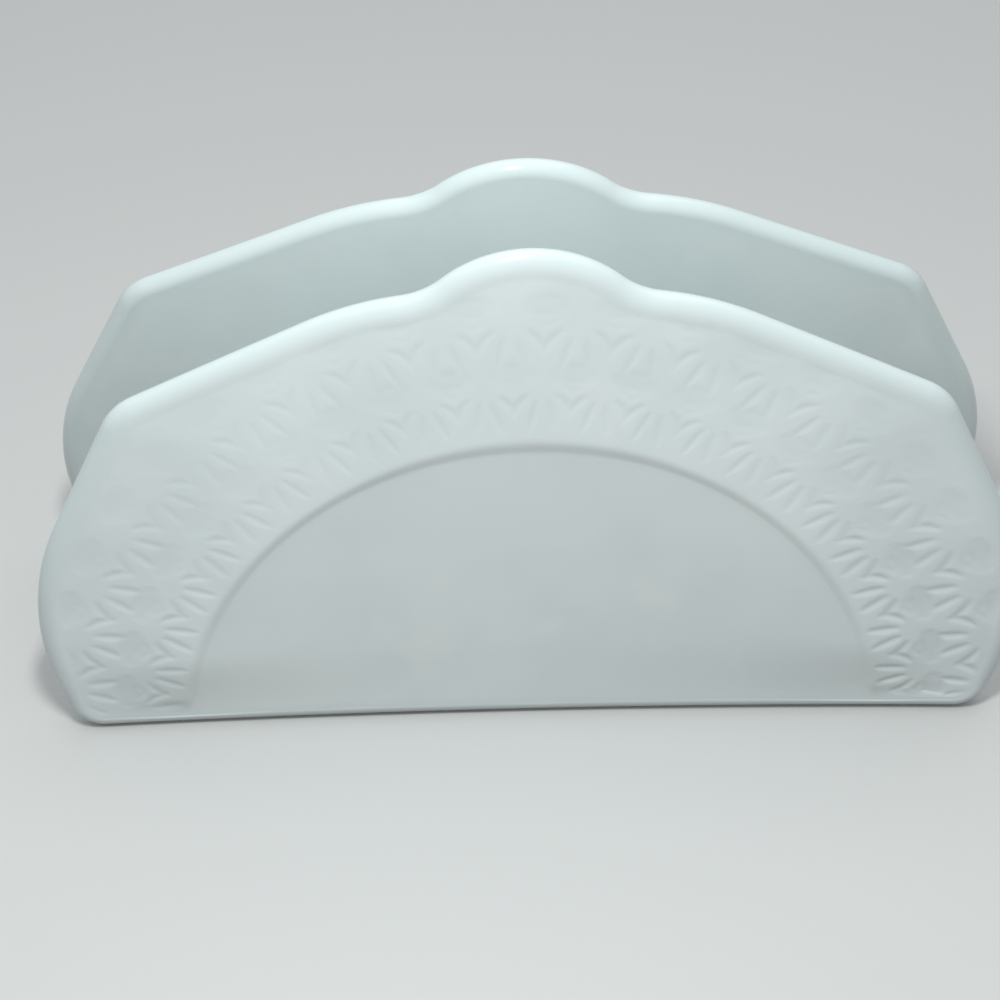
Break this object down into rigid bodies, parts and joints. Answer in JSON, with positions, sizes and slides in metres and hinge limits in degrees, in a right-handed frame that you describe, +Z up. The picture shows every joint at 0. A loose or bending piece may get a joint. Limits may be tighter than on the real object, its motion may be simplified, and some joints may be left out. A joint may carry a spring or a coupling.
{
  "type": "napkin holder",
  "caption": "Upright ceramic napkin holder: half-plate panels with a crowned, star-embossed band stand on a floor slab, with an open slot between them.",
  "frame": {"origin": "middle of the footprint, on the table", "axes": "+X along the panels, to the right as the front is seen; +Y from the front panel to the back panel; +Z up"},
  "size_m": [0.1898, 0.0576, 0.1041],
  "materials": {
    "glazed_panel": "glossy white glaze with a faint cool cast",
    "glazed_floor": "glossy white glaze above, bare fired clay underneath",
    "slip": "fired slip under a thin glaze",
    "glazed_bead": "glossy white glaze"
  },
  "bodies": {
    "root": {"front_panel": "glazed_panel", "back_panel": "glazed_panel", "floor": "glazed_floor", "front_slip_joint": "slip", "back_slip_joint": "slip", "front_corner_bead": "glazed_bead", "back_corner_bead": "glazed_bead"}
  },
  "joints": []
}
